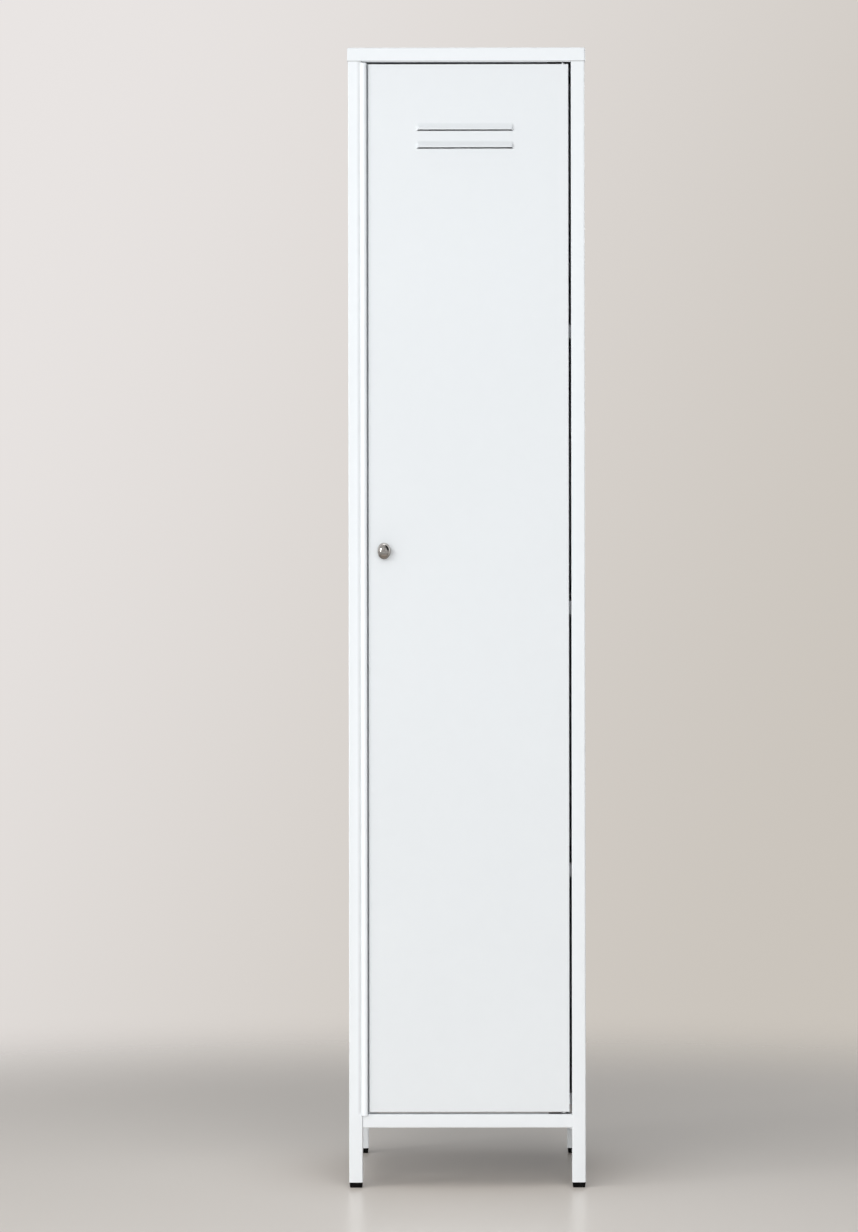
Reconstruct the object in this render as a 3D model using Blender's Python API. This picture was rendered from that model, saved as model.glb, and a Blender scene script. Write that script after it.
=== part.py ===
"""White steel locker: a square-tube frame with sheet panels and shelves, and a louvred door on pivot pins.

Metres, +Z up. The front faces -Y. The origin is on the floor, under the centre of the whole outline.
"""

import math

import bmesh
import bpy
from mathutils import Matrix, Vector
from mathutils.geometry import delaunay_2d_cdt

# Overall size, over the posts, and from the floor to the top of the cap
WIDTH = 0.380
DEPTH = 0.450
HEIGHT = 1.8305

# Clearance that every seated piece keeps to its neighbour
SEAT = 0.0003

# Square tube of the frame
TUBE = 0.022
TUBE_WALL = 0.0012
TUBE_CORNER = 0.002
RAIL_SETBACK = 0.0005
LEG_CLEARANCE = 0.096

# Plug feet
FOOT_HEIGHT = 0.0084
FOOT_TOP_WIDTH = 0.0212
FOOT_BOTTOM_WIDTH = 0.0196
FOOT_EDGE = 0.0012
FOOT_PLUG_LENGTH = 0.018

# Cap
CAP_HEIGHT = 0.0216
CAP_SHEET = 0.0008
CAP_BEND = 0.0025

# Side and back panels
PANEL_SHEET = 0.0008
PANEL_BEND = 0.0016
SIDE_FLANGE = 0.014
SIDE_RECESS = 0.003
BACK_FLANGE = 0.016

# Floor pan and shelves
SHELF_SHEET = 0.0009
SHELF_BEND = 0.0018
SHELF_FLANGE = 0.022
SHELF_FRONT_CLEARANCE = 0.0022
SHELF_REAR_CLEARANCE = 0.0015
LOWER_SHELF_TOP = 0.520
MIDDLE_SHELF_TOP = 0.942
UPPER_SHELF_TOP = 1.386
FLOOR_RISE = 0.031
FLOOR_FRONT_LIP = 0.018
RUNNER_SHEET = 0.0012
RUNNER_BEND = 0.0012
RUNNER_LEG = 0.016
RUNNER_REST = 0.014
RUNNER_INSET = 0.010

# Door
DOOR_SHEET = 0.0009
DOOR_BEND = 0.0013
DOOR_THICKNESS = 0.018
DOOR_LIP = 0.012
DOOR_SETBACK = 0.001
DOOR_GAP_TOP = 0.0034
DOOR_GAP_BOTTOM = 0.0034
DOOR_GAP_LATCH = 0.0024
DOOR_GAP_HINGE = 0.004

# Louvres pressed out of the door
LOUVRE_COUNT = 2
LOUVRE_LENGTH = 0.156
LOUVRE_HEIGHT = 0.0132
LOUVRE_PROJECTION = 0.0045
LOUVRE_SLOT = 0.0020
LOUVRE_END = 0.0035
LOUVRE_PITCH = 0.0286
LOUVRE_DROP = 0.094
LOUVRE_CENTRE_X = -0.002

# Stiffener behind the door's sheet
STIFFENER_SHEET = 0.0009
STIFFENER_BEND = 0.0018
STIFFENER_CROWN = 0.040
STIFFENER_FOOT = 0.014
STIFFENER_DEPTH = 0.013
STIFFENER_END = 0.060

# Pivot pins, their plates in the door and their bushes in the front rails
PIVOT_INSET = 0.009
PIVOT_DEPTH = 0.008
PIN_DIAMETER = 0.005
PIN_HEAD_DIAMETER = 0.009
PIN_HEAD_HEIGHT = 0.003
PIN_ENGAGEMENT = 0.009
PIN_CLEARANCE = 0.0002
BUSH_DIAMETER = 0.008
BUSH_LENGTH = 0.011
PAD_SHEET = 0.0008
PAD_WIDTH = 0.012
PAD_REACH = 0.025
WASHER_DIAMETER = 0.011
HINGE_PLATE_SHEET = 0.002
HINGE_PLATE_BEND = 0.0025
HINGE_PLATE_LENGTH = 0.034
HINGE_PLATE_LEG = 0.040
HINGE_PLATE_WIDTH = 0.012

# Strip that the door closes against, and its buffers
STRIP_SHEET = 0.001
STRIP_BEND = 0.0044
STRIP_FOOT = 0.0004
STRIP_FACE = 0.0081
STRIP_LAP = 0.003
STRIP_TOE = 0.002
STRIP_STOP = 0.014
STRIP_TOP_GAP = 0.0012
BUFFER_DIAMETER = 0.008
BUFFER_HEIGHT = 0.0022
BUFFER_RIM_HEIGHT = 0.0013
BUFFER_TIP_DIAMETER = 0.0056
BUFFER_PLAY = 0.0005
BUFFER_END_DISTANCE = 0.250

# Knob and latch
KNOB_INSET = 0.025
KNOB_HEIGHT = 1.0224
KNOB_WIDTH = 0.021
KNOB_TALL = 0.0267
KNOB_REACH = 0.026
KNOB_NECK_DIAMETER = 0.0095
KNOB_NECK_LENGTH = 0.0042
KNOB_TIP = 0.15
KNOB_FULLNESS = 0.9
ROSETTE_DIAMETER = 0.018
ROSETTE_HEIGHT = 0.003
ROSETTE_RIM = 0.001
SPINDLE_DIAMETER = 0.006
SPINDLE_SOCKET = 0.008
SPINDLE_TAIL_DIAMETER = 0.005
HOUSING_DIAMETER = 0.012
NUT_WIDTH = 0.017
NUT_HEIGHT = 0.004
CAM_SHEET = 0.002
CAM_WIDTH = 0.015
CAM_LENGTH = 0.025
CAM_CLEARANCE = 0.002
CAM_NUT_WIDTH = 0.009
CAM_NUT_HEIGHT = 0.003

# Number of straight steps in a rounded corner, in a full circle and along the knob
CORNER_STEPS = 3
CIRCLE_STEPS = 24
KNOB_STEPS = 10
LOUVRE_ROWS = 6

# Shares of a louvre's rising end where its skin has a column of points
LOUVRE_COLUMNS = (0.0, 0.15, 0.4, 0.7, 1.0)

# Bends sharper than this, in degrees, are shaded as edges
SHARP_DEGREES = 35

# Points nearer than this to an edge count as on it when a flat face is filled
FILL_TOLERANCE = 1e-7

# Places that follow from the sizes above
CAP_OVERHANG = CAP_SHEET + SEAT
REACH = KNOB_REACH - DOOR_SETBACK
FRONT = REACH - (REACH + DEPTH + CAP_OVERHANG) / 2
BACK = FRONT + DEPTH
POST_X = (WIDTH - TUBE) / 2
POST_FRONT_Y = FRONT + TUBE / 2
POST_BACK_Y = BACK - TUBE / 2
INNER_X = WIDTH / 2 - TUBE
FRAME_TOP = HEIGHT - CAP_SHEET - SEAT
POST_TOP = FRAME_TOP + CAP_SHEET - CAP_BEND
TOP_RAIL_UNDERSIDE = FRAME_TOP - TUBE
BOTTOM_RAIL_TOP = LEG_CLEARANCE + TUBE

SIDE_OUTER_X = WIDTH / 2 - SIDE_RECESS
SIDE_INNER_X = SIDE_OUTER_X - PANEL_SHEET
PANEL_LOW = BOTTOM_RAIL_TOP + SEAT
PANEL_HIGH = TOP_RAIL_UNDERSIDE - SEAT
BACK_FACE_Y = BACK - TUBE + SEAT

SHELF_FRONT_Y = FRONT + TUBE + SHELF_FRONT_CLEARANCE
SHELF_BACK_Y = BACK - TUBE - SHELF_REAR_CLEARANCE
SHELF_X = SIDE_INNER_X - RUNNER_SHEET - 2 * SEAT
FLOOR_TOP = BOTTOM_RAIL_TOP + FLOOR_RISE

DOOR_FACE_Y = FRONT + DOOR_SETBACK
DOOR_LEFT = -INNER_X + STRIP_FACE + DOOR_GAP_LATCH
DOOR_RIGHT = INNER_X - DOOR_GAP_HINGE
DOOR_LOW = BOTTOM_RAIL_TOP + DOOR_GAP_BOTTOM
DOOR_HIGH = TOP_RAIL_UNDERSIDE - DOOR_GAP_TOP
DOOR_X = (DOOR_LEFT + DOOR_RIGHT) / 2
DOOR_Z = (DOOR_LOW + DOOR_HIGH) / 2

PIVOT_X = DOOR_RIGHT - PIVOT_INSET
PIVOT_Y = DOOR_FACE_Y + PIVOT_DEPTH
KNOB_X = DOOR_LEFT + KNOB_INSET
LOUVRE_LOW = DOOR_HIGH - LOUVRE_DROP - (LOUVRE_COUNT - 1) * LOUVRE_PITCH - LOUVRE_HEIGHT

STRIP_STOP_Y = DOOR_FACE_Y + DOOR_THICKNESS + BUFFER_PLAY + BUFFER_HEIGHT + SEAT + STRIP_SHEET / 2
CAM_Y = STRIP_STOP_Y + STRIP_SHEET / 2 + CAM_CLEARANCE


def material(name, colour, roughness, metallic):
    """One plain surface finish."""
    made = bpy.data.materials.new(name)
    made.use_nodes = True
    shader = made.node_tree.nodes["Principled BSDF"]
    shader.inputs["Base Color"].default_value = (*colour, 1.0)
    shader.inputs["Roughness"].default_value = roughness
    shader.inputs["Metallic"].default_value = metallic
    made.diffuse_color = (*colour, 1.0)
    return made


def pivot(name, place, parent=None):
    """An empty that stands on a joint's axis and carries what moves with it."""
    made = bpy.data.objects.new(name, None)
    bpy.context.scene.collection.objects.link(made)
    made.parent = parent
    made["place"] = place
    made.location = Vector(place) - (Vector(parent["place"]) if parent else Vector())
    return made


def piece(name, shape, finish, place, parent, turn=(0.0, 0.0, 0.0)):
    """A named object from a shape, put at a place of the whole locker and carried by its parent."""
    mesh = bpy.data.meshes.new(name)
    shape.to_mesh(mesh)
    shape.free()
    mesh.shade_smooth()
    mesh.set_sharp_from_angle(angle=math.radians(SHARP_DEGREES))
    mesh.materials.append(finish)
    made = bpy.data.objects.new(name, mesh)
    bpy.context.scene.collection.objects.link(made)
    made.parent = parent
    made.location = Vector(place) - Vector(parent["place"])
    made.rotation_euler = [math.radians(angle) for angle in turn]
    return made


def thicken(sheet_piece, sheet):
    """Gives a skin its sheet thickness, on its inner side."""
    made = sheet_piece.modifiers.new("sheet", "SOLIDIFY")
    made.thickness = sheet
    made.offset = -1.0
    made.use_even_offset = True
    made.use_quality_normals = True


def cut(target, shape, place):
    """Removes a shape from a piece."""
    mesh = bpy.data.meshes.new(target.name + "_cutter")
    shape.to_mesh(mesh)
    shape.free()
    cutter = bpy.data.objects.new(target.name + "_cutter", mesh)
    bpy.context.scene.collection.objects.link(cutter)
    cutter.location = place
    cutter.hide_render = True
    cutter.display_type = "WIRE"
    made = target.modifiers.new("cut", "BOOLEAN")
    made.operation = "DIFFERENCE"
    made.object = cutter


def arc(centre, radius, start, end, steps):
    """Points of a round stretch, both ends included, angles in degrees."""
    angles = [math.radians(start + (end - start) * i / steps) for i in range(steps + 1)]
    return [(centre[0] + radius * math.cos(a), centre[1] + radius * math.sin(a)) for a in angles]


def rounded_square(width, radius):
    """A square outline with round corners, about the origin."""
    inner = width / 2 - radius
    corners = ((inner, inner), (-inner, inner), (-inner, -inner), (inner, -inner))
    points = []
    for i, corner in enumerate(corners):
        points += arc(corner, radius, 90 * i, 90 * i + 90, CORNER_STEPS)
    return points


def circle(radius):
    """A round outline about the origin."""
    return arc((0, 0), radius, 0, 360 - 360 / CIRCLE_STEPS, CIRCLE_STEPS - 1)


def level(outline, z):
    """An outline raised to a height."""
    return [Vector((x, y, z)) for x, y in outline]


def loft(rings, closed=False):
    """Joins rings of equally many points, and caps the ends unless the rings come back to the first."""
    shape = bmesh.new()
    rows = [[shape.verts.new(point) for point in ring] for ring in rings]
    pairs = list(zip(rows, rows[1:]))
    if closed:
        pairs.append((rows[-1], rows[0]))
    else:
        shape.faces.new(rows[0])
        shape.faces.new(rows[-1])
    for low, high in pairs:
        for i in range(len(low)):
            shape.faces.new((low[i - 1], low[i], high[i], high[i - 1]))
    bmesh.ops.recalc_face_normals(shape, faces=shape.faces)
    return shape


def extrude(outline, length):
    """A solid of one outline, from the origin up."""
    return loft([level(outline, 0), level(outline, length)])


def turned(profile, closed=False):
    """A round solid from (radius, height) points; a closed profile leaves a bore."""
    return loft([level(circle(radius), z) for radius, z in profile], closed)


def box(size):
    """A block about the origin."""
    shape = bmesh.new()
    bmesh.ops.create_cube(shape, size=1.0)
    bmesh.ops.scale(shape, vec=size, verts=shape.verts)
    return shape


def square_tube(length):
    """A length of the frame's tube, from the origin up, open at both ends."""
    outer = rounded_square(TUBE, TUBE_CORNER)
    inner = rounded_square(TUBE - 2 * TUBE_WALL, TUBE_CORNER - TUBE_WALL)
    rings = [level(outer, 0), level(outer, length), level(inner, length), level(inner, 0)]
    return loft(rings, closed=True)


def folded_outline(path, sheet, bend):
    """The section of a folded sheet: a path of corners with round bends, thickened to both sides."""
    path = [Vector(point) for point in path]
    left, right = [], []
    for i, corner in enumerate(path):
        before = (corner - path[max(i - 1, 0)]).normalized()
        after = (path[min(i + 1, len(path) - 1)] - corner).normalized()
        along = before if before.length else after
        side = Vector((-along.y, along.x))
        if not before.length or not after.length:
            left.append(corner + side * sheet / 2)
            right.append(corner - side * sheet / 2)
            continue
        bend_angle = math.atan2(before.cross(after), before.dot(after))
        hand = math.copysign(1, bend_angle)
        start = corner - before * bend * math.tan(abs(bend_angle) / 2)
        centre = start + side * hand * bend
        for step in range(CORNER_STEPS + 1):
            spoke = Matrix.Rotation(bend_angle * step / CORNER_STEPS, 2) @ (start - centre)
            spoke.normalize()
            left.append(centre + spoke * (bend - hand * sheet / 2))
            right.append(centre + spoke * (bend + hand * sheet / 2))
    return [tuple(point) for point in left + right[::-1]]


def tray(size, bend, lip=0.0):
    """The skin of a folded tray: its flat face on top at z = 0, its walls down, and lips turned in."""
    wide, deep, tall = size
    shape = box((wide, deep, tall))
    bmesh.ops.translate(shape, vec=(0, 0, -tall / 2), verts=shape.verts)
    bends = list(shape.edges)
    open_face = min(shape.faces, key=lambda face: face.calc_center_median().z)
    if lip:
        bmesh.ops.inset_region(shape, faces=[open_face], thickness=lip)
    else:
        bends = [edge for edge in bends if edge not in open_face.edges[:]]
    bmesh.ops.delete(shape, geom=[open_face], context="FACES_ONLY")
    bmesh.ops.bevel(
        shape, geom=bends, offset=bend, segments=CORNER_STEPS, profile=0.5, affect="EDGES"
    )
    return shape


def face_towards(shape, direction):
    """The face that shows the largest area along a direction."""
    along = Vector(direction)
    return max(shape.faces, key=lambda face: face.normal.dot(along) * face.calc_area())


def punch(shape, face, outlines):
    """Makes convex holes in a flat face, and returns each hole's ring of points."""
    flat = face.normal.to_track_quat("Z", "Y").to_matrix().transposed()
    loops = [list(face.verts)]
    shape.faces.remove(face)
    loops += [[shape.verts.new(point) for point in outline] for outline in outlines]
    corners = []
    owners = []
    edges = []
    for number, loop in enumerate(loops):
        first = len(corners)
        edges += [(first + i, first + (i + 1) % len(loop)) for i in range(len(loop))]
        owners += [number] * len(loop)
        corners += loop
    points = [(flat @ corner.co).to_2d() for corner in corners]
    filled = delaunay_2d_cdt(points, edges, [], 1, FILL_TOLERANCE)
    sources = [origin[0] for origin in filled[3]]
    for triangle in filled[2]:
        ends = [sources[i] for i in triangle]
        rings = {owners[i] for i in ends}
        if len(rings) > 1 or 0 in rings:
            shape.faces.new([corners[i] for i in ends])
    return loops[1:]


def louvre_columns():
    """Distances along a louvre, close together where its ends rise."""
    rise = [LOUVRE_END * share for share in LOUVRE_COLUMNS]
    return [-LOUVRE_LENGTH / 2 + x for x in rise] + [LOUVRE_LENGTH / 2 - x for x in reversed(rise)]


def louvre_point(x, row):
    """A point of a louvre's skin, from its top edge: it swells out and ends in a lip above the slot."""
    end = min(1.0, (LOUVRE_LENGTH / 2 - abs(x)) / LOUVRE_END)
    full = math.sin(math.pi / 2 * end)
    share = row / LOUVRE_ROWS
    out = LOUVRE_PROJECTION * full * (0.5 - 0.5 * math.cos(math.pi * share))
    down = share * (LOUVRE_HEIGHT - LOUVRE_SLOT * full)
    return Vector((x, -down, out))


def louvre_outline(top):
    """The edge that a louvre shares with the flat sheet round it, with a straight bottom."""
    columns = louvre_columns()
    across = [louvre_point(x, 0) for x in columns]
    right = [louvre_point(columns[-1], row) for row in range(1, LOUVRE_ROWS + 1)]
    left = [louvre_point(columns[0], row) for row in range(LOUVRE_ROWS, 0, -1)]
    return [point + top for point in across + right + left]


def press_louvre(shape, ring, top):
    """Fills a louvre's outline with its swelling skin, and leaves the slot under the lip open."""
    columns = louvre_columns()
    last = len(columns) - 1
    edge = {(i, 0): ring[i] for i in range(last + 1)}
    edge |= {(last, row): ring[last + row] for row in range(1, LOUVRE_ROWS + 1)}
    edge |= {(0, row): ring[-row] for row in range(1, LOUVRE_ROWS + 1)}
    grid = {}
    for i, x in enumerate(columns):
        for row in range(LOUVRE_ROWS + 1):
            shared = edge.get((i, row))
            grid[i, row] = shared or shape.verts.new(louvre_point(x, row) + top)
    for i in range(last):
        for row in range(LOUVRE_ROWS):
            shape.faces.new((grid[i, row], grid[i, row + 1], grid[i + 1, row + 1], grid[i + 1, row]))


def make_posts(finish, cabinet):
    """The four corner posts, which stand on the feet and end below the bend of the cap."""
    for depth_word, y in (("front", POST_FRONT_Y), ("rear", POST_BACK_Y)):
        for side_word, side in (("left", -1), ("right", 1)):
            shape = square_tube(POST_TOP - FOOT_HEIGHT)
            piece(f"post_{depth_word}_{side_word}", shape, finish, (side * POST_X, y, FOOT_HEIGHT), cabinet)


def make_feet(finish, cabinet):
    """Plastic plugs: a tapered pad under the post, and a plug with a lead-in inside its bore."""
    bore = TUBE - 2 * TUBE_WALL
    plug = bore - 2 * SEAT
    pad_top = FOOT_HEIGHT - SEAT
    plug_top = FOOT_HEIGHT + FOOT_PLUG_LENGTH
    sections = (
        (FOOT_BOTTOM_WIDTH - FOOT_EDGE, 0.0),
        (FOOT_BOTTOM_WIDTH, FOOT_EDGE),
        (FOOT_TOP_WIDTH, pad_top),
        (plug, pad_top),
        (plug, plug_top - FOOT_EDGE),
        (plug - FOOT_EDGE, plug_top),
    )
    for depth_word, y in (("front", POST_FRONT_Y), ("rear", POST_BACK_Y)):
        for side_word, side in (("left", -1), ("right", 1)):
            shape = loft([level(rounded_square(width, FOOT_EDGE), z) for width, z in sections])
            piece(f"foot_{depth_word}_{side_word}", shape, finish, (side * POST_X, y, 0), cabinet)


def make_rails(finish, cabinet):
    """Top and bottom rails between the posts; the front ones are bored for the pivot bushes."""
    across = 2 * INNER_X - 2 * SEAT
    along = DEPTH - 2 * TUBE - 2 * SEAT
    made = {}
    for height_word, z in (("bottom", LEG_CLEARANCE + TUBE / 2), ("top", FRAME_TOP - TUBE / 2)):
        for depth_word, y in (("front", POST_FRONT_Y + RAIL_SETBACK), ("rear", POST_BACK_Y - RAIL_SETBACK)):
            name = f"{height_word}_rail_{depth_word}"
            place = (-across / 2, y, z)
            made[name] = piece(name, square_tube(across), finish, place, cabinet, turn=(0, 90, 0))
        for side_word, side in (("left", -1), ("right", 1)):
            place = (side * POST_X, FRONT + TUBE + SEAT, z)
            name = f"{height_word}_rail_{side_word}"
            piece(name, square_tube(along), finish, place, cabinet, turn=(-90, 0, 0))
    radius = BUSH_DIAMETER / 2 + SEAT
    for name, z in (("bottom_rail_front", BOTTOM_RAIL_TOP), ("top_rail_front", TOP_RAIL_UNDERSIDE)):
        drill = turned([(radius, -2 * TUBE_WALL), (radius, 2 * TUBE_WALL)])
        cut(made[name], drill, (PIVOT_X, PIVOT_Y, z))


def make_cap(finish, cabinet):
    """The folded lid over the post tops."""
    size = (WIDTH + 2 * CAP_OVERHANG, DEPTH + 2 * CAP_OVERHANG, CAP_HEIGHT)
    place = (0, (FRONT + BACK) / 2, HEIGHT)
    thicken(piece("top_cap", tray(size, CAP_BEND), finish, place, cabinet), CAP_SHEET)


def make_panels(finish, cabinet):
    """Side panels with their flanges turned in, and a back panel with its flanges turned to the rear."""
    tall = PANEL_HIGH - PANEL_LOW
    middle = (PANEL_HIGH + PANEL_LOW) / 2
    along = DEPTH - 2 * TUBE - 2 * SEAT
    for side_word, side in (("left", -1), ("right", 1)):
        shape = tray((tall, along, SIDE_FLANGE), PANEL_BEND)
        place = (side * SIDE_OUTER_X, (FRONT + BACK) / 2, middle)
        panel = piece(f"side_panel_{side_word}", shape, finish, place, cabinet, turn=(0, side * 90, 0))
        thicken(panel, PANEL_SHEET)
    shape = tray((2 * INNER_X - 2 * SEAT, tall, BACK_FLANGE), PANEL_BEND)
    panel = piece("back_panel", shape, finish, (0, BACK_FACE_Y, middle), cabinet, turn=(90, 0, 0))
    thicken(panel, PANEL_SHEET)


def make_floor(finish, cabinet):
    """The floor pan: its side flanges stand on those of the side panels, and its front lip is shorter."""
    deep = SHELF_BACK_Y - SHELF_FRONT_Y
    place = (0, (SHELF_FRONT_Y + SHELF_BACK_Y) / 2, FLOOR_TOP)
    shape = tray((2 * SHELF_X, deep, FLOOR_RISE - PANEL_SHEET - 2 * SEAT), SHELF_BEND)
    floor = piece("floor_pan", shape, finish, place, cabinet)
    thicken(floor, SHELF_SHEET)
    notch_width = 2 * (SHELF_X - SHELF_BEND - SHELF_SHEET)
    notch_depth = 4 * SHELF_SHEET
    notch_height = 2 * (FLOOR_RISE - FLOOR_FRONT_LIP)
    cut(floor, box((notch_width, notch_depth, notch_height)), (0, SHELF_FRONT_Y, BOTTOM_RAIL_TOP))


def make_shelves(finish, cabinet):
    """Three shelf pans, each on an angle runner at either side."""
    deep = SHELF_BACK_Y - SHELF_FRONT_Y
    middle = (SHELF_FRONT_Y + SHELF_BACK_Y) / 2
    runner_length = deep - 2 * RUNNER_INSET
    tops = (("lower", LOWER_SHELF_TOP), ("middle", MIDDLE_SHELF_TOP), ("upper", UPPER_SHELF_TOP))
    for word, top in tops:
        shape = tray((2 * SHELF_X, deep, SHELF_FLANGE), SHELF_BEND)
        thicken(piece(f"shelf_{word}", shape, finish, (0, middle, top), cabinet), SHELF_SHEET)
        rest = top - SHELF_FLANGE - SEAT - RUNNER_SHEET / 2
        plate = SIDE_INNER_X - SEAT - RUNNER_SHEET / 2
        for side_word, side in (("left", -1), ("right", 1)):
            path = ((0, -RUNNER_LEG), (0, 0), (-side * RUNNER_REST, 0))
            outline = folded_outline(path, RUNNER_SHEET, RUNNER_BEND)
            place = (side * plate, middle - runner_length / 2, rest)
            name = f"shelf_runner_{word}_{side_word}"
            piece(name, extrude(outline, runner_length), finish, place, cabinet, turn=(-90, 0, 0))


def make_strip(finish, rubber, cabinet):
    """The folded strip on the latch-side post, with a stop behind the door's edge and two buffers on it.

    Its round face stands out from the frame, on a foot on the front of the post, and its toe laps over
    the front of the bottom rail.
    """
    half = STRIP_SHEET / 2
    foot = -INNER_X - STRIP_LAP + half
    face = FRONT - SEAT - STRIP_FOOT - STRIP_BEND
    web = -INNER_X + STRIP_FACE - half
    front = ((foot, FRONT - SEAT), (foot, face), (web, face))
    stop = ((web, STRIP_STOP_Y), (web + STRIP_STOP, STRIP_STOP_Y))
    outline = folded_outline(front + stop, STRIP_SHEET, STRIP_BEND)
    toe = BOTTOM_RAIL_TOP - STRIP_TOE
    length = PANEL_HIGH - STRIP_TOP_GAP - toe
    strip = piece("latch_strip", extrude(outline, length), finish, (0, 0, toe), cabinet)
    rail_front = FRONT + RAIL_SETBACK - SEAT
    room = (2 * (STRIP_LAP + STRIP_FACE + STRIP_STOP), 2 * TUBE, STRIP_TOE + 2 * SEAT)
    cut(strip, box(room), (-INNER_X, rail_front + TUBE, PANEL_LOW - room[2] / 2))
    seat_y = STRIP_STOP_Y - STRIP_SHEET / 2 - SEAT
    radius = BUFFER_DIAMETER / 2
    x = web + STRIP_STOP - radius
    for word, z in (("lower", DOOR_LOW + BUFFER_END_DISTANCE), ("upper", DOOR_HIGH - BUFFER_END_DISTANCE)):
        profile = ((radius, 0), (radius, BUFFER_RIM_HEIGHT), (BUFFER_TIP_DIAMETER / 2, BUFFER_HEIGHT))
        piece(f"door_buffer_{word}", turned(profile), rubber, (x, seat_y, z), cabinet, turn=(90, 0, 0))


def half_turned(radius):
    """A round outline whose points lie alike on both sides of each axis."""
    step = 180 / CIRCLE_STEPS
    return arc((0, 0), radius, step, 360 - step, CIRCLE_STEPS - 1)


def pad_outline():
    """A bush's pad on the rail: an oblong with round ends, from near the post inwards."""
    radius = PAD_WIDTH / 2
    right = INNER_X - 2 * SEAT - PIVOT_X - radius
    left = radius - PAD_REACH
    return [(x + (right if x > 0 else left), y) for x, y in half_turned(radius)]


def make_bushes(plastic, steel, cabinet):
    """Bushes in the front rails, each with a pad on the rail, and the washer that carries the door."""
    outer = half_turned(BUSH_DIAMETER / 2)
    bore = half_turned(PIN_DIAMETER / 2 + PIN_CLEARANCE)
    pad = pad_outline()
    pad_top = SEAT + PAD_SHEET
    barrel = ((bore, -BUSH_LENGTH), (outer, -BUSH_LENGTH), (outer, SEAT))
    flange = ((pad, SEAT), (pad, pad_top), (bore, pad_top))
    for word, side, z in (("top", -1, TOP_RAIL_UNDERSIDE), ("bottom", 1, BOTTOM_RAIL_TOP)):
        rings = [level(outline, side * height) for outline, height in barrel + flange]
        piece(f"hinge_bush_{word}", loft(rings, closed=True), plastic, (PIVOT_X, PIVOT_Y, z), cabinet)
    hole = PIN_DIAMETER / 2 + PIN_CLEARANCE
    rim = WASHER_DIAMETER / 2
    low = pad_top + SEAT
    high = DOOR_GAP_BOTTOM - SEAT
    washer = turned(((hole, low), (rim, low), (rim, high), (hole, high)), closed=True)
    piece("hinge_washer", washer, steel, (PIVOT_X, PIVOT_Y, BOTTOM_RAIL_TOP), cabinet)


def make_door(finish, door):
    """The door's folded skin, with its louvres, the latch hole and the pin holes in its edges."""
    wide = DOOR_RIGHT - DOOR_LEFT
    tall = DOOR_HIGH - DOOR_LOW
    shape = tray((wide, tall, DOOR_THICKNESS), DOOR_BEND, DOOR_LIP)
    tops = []
    for i in range(LOUVRE_COUNT):
        height = DOOR_HIGH - LOUVRE_DROP - i * LOUVRE_PITCH
        tops.append(Vector((LOUVRE_CENTRE_X - DOOR_X, height - DOOR_Z, 0)))
    knob = Vector((KNOB_X - DOOR_X, KNOB_HEIGHT - DOOR_Z, 0))
    latch_hole = [point + knob for point in level(circle(HOUSING_DIAMETER / 2 + SEAT), 0)]
    outlines = [louvre_outline(top) for top in tops] + [latch_hole]
    rings = punch(shape, face_towards(shape, (0, 0, 1)), outlines)
    for ring, top in zip(rings, tops):
        press_louvre(shape, ring, top)
    pin_hole = circle(PIN_DIAMETER / 2 + SEAT)
    for side in (-1, 1):
        centre = Vector((PIVOT_X - DOOR_X, side * tall / 2, -PIVOT_DEPTH))
        outline = [centre + Vector((x, 0, z)) for x, z in pin_hole]
        punch(shape, face_towards(shape, (0, side, 0)), [outline])
    place = (DOOR_X, DOOR_FACE_Y, DOOR_Z)
    thicken(piece("door_panel", shape, finish, place, door, turn=(90, 0, 0)), DOOR_SHEET)


def make_stiffener(finish, door):
    """A hat channel down the middle of the door, below the louvres."""
    low = DOOR_LOW + STIFFENER_END
    high = LOUVRE_LOW - STIFFENER_END
    half = STIFFENER_CROWN / 2
    near = STIFFENER_SHEET / 2
    far = near + STIFFENER_DEPTH
    ends = half + STIFFENER_FOOT
    path = ((-ends, near), (-half, near), (-half, far), (half, far), (half, near), (ends, near))
    outline = folded_outline(path, STIFFENER_SHEET, STIFFENER_BEND)
    place = (DOOR_X, DOOR_FACE_Y + DOOR_SHEET + SEAT, low)
    piece("door_stiffener", extrude(outline, high - low), finish, place, door)


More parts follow.
